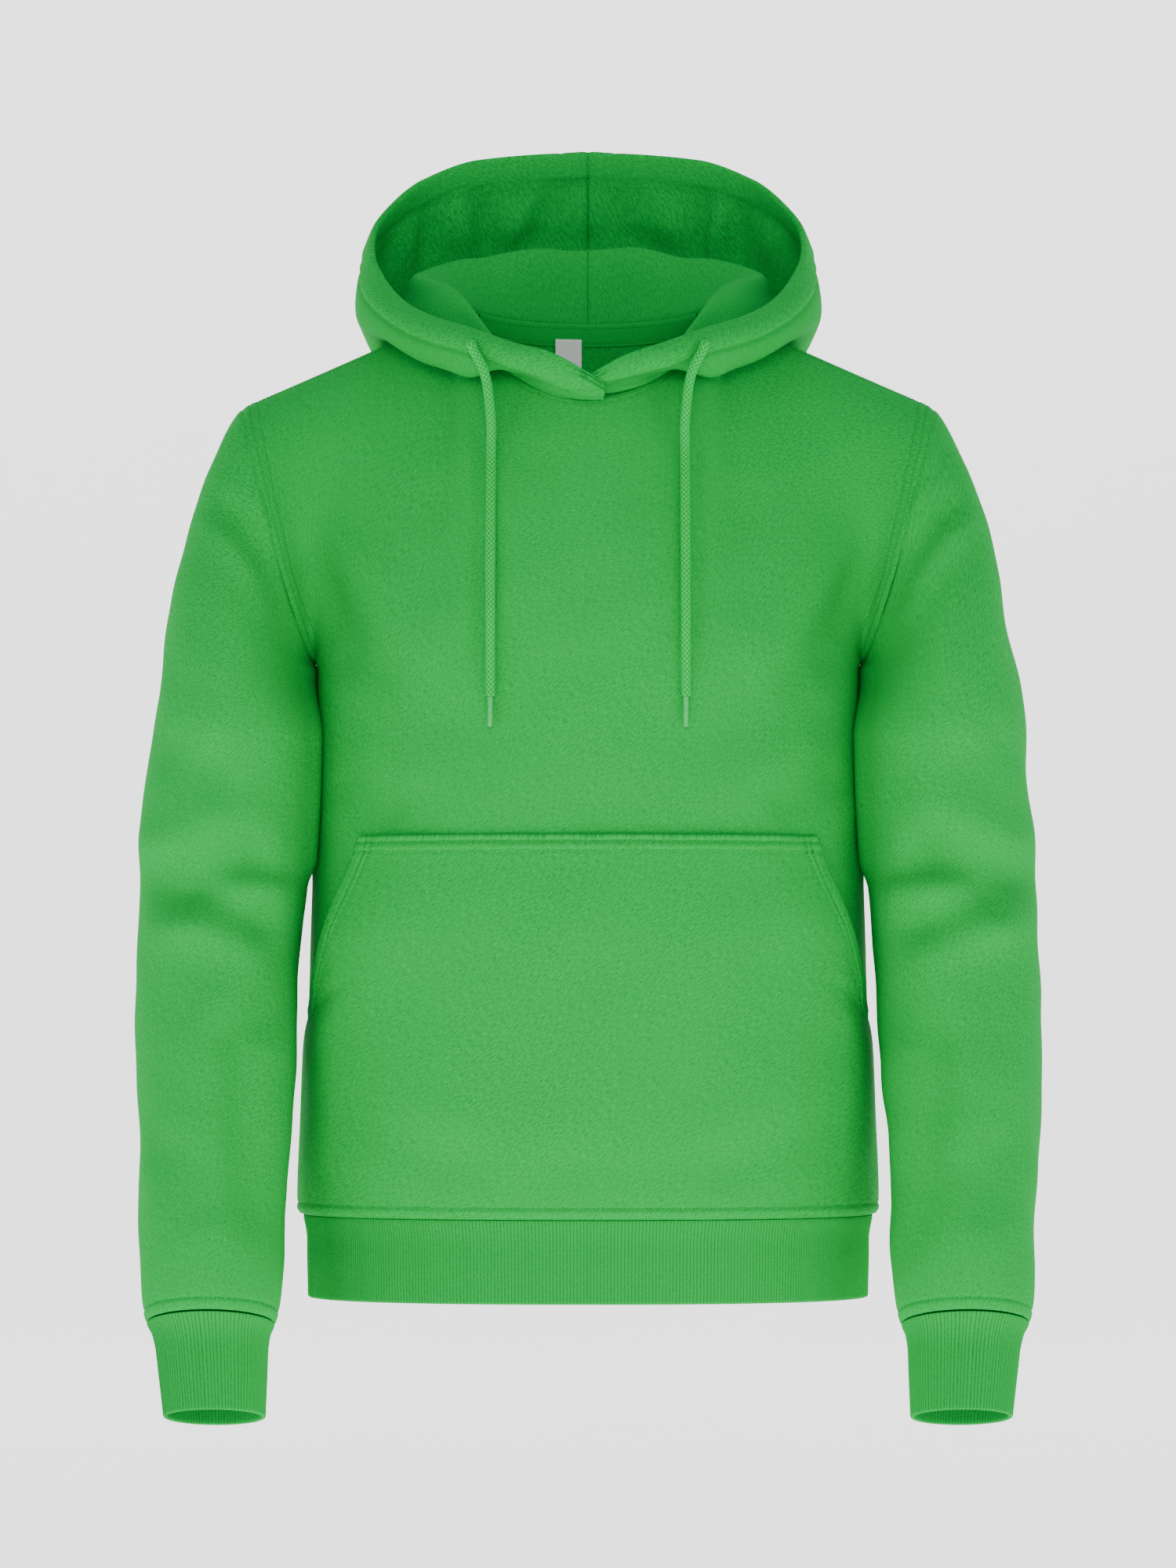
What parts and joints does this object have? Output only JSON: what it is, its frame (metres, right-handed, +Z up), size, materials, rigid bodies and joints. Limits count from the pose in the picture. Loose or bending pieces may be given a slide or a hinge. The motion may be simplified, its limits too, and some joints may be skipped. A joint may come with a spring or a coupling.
{
  "type": "pullover hoodie",
  "caption": "Hooded pullover sweatshirt of brushed fleece, filled out as worn, with a kangaroo pocket, a drawcord in the hood's rim, and ribbed cuffs and hem",
  "frame": {"origin": "midway between the two neck points, where the shoulder seams meet the hood; the wearer's shoulders hold the garment there", "axes": "+Z up, the front faces -Y, +X towards the wearer's left"},
  "size_m": [0.6138, 0.32, 0.8938],
  "materials": {
    "fleece": "brushed cotton fleece",
    "rib_knit": "one by one rib knit",
    "tape": "cotton twill tape",
    "label": "satin",
    "cord": "braided cotton",
    "aglet": "glossy"
  },
  "bodies": {
    "root": {"body_front": "fleece", "body_back": "fleece", "sleeve_left": "fleece", "sleeve_right": "fleece", "hood_left": "fleece", "hood_right": "fleece", "pocket": "fleece", "cuff_left": "rib_knit", "cuff_right": "rib_knit", "hem_band": "rib_knit", "neck_tape": "tape", "neck_label": "label", "drawcord_left": "cord", "drawcord_right": "cord", "aglet_left": "aglet", "aglet_right": "aglet"}
  },
  "joints": []
}
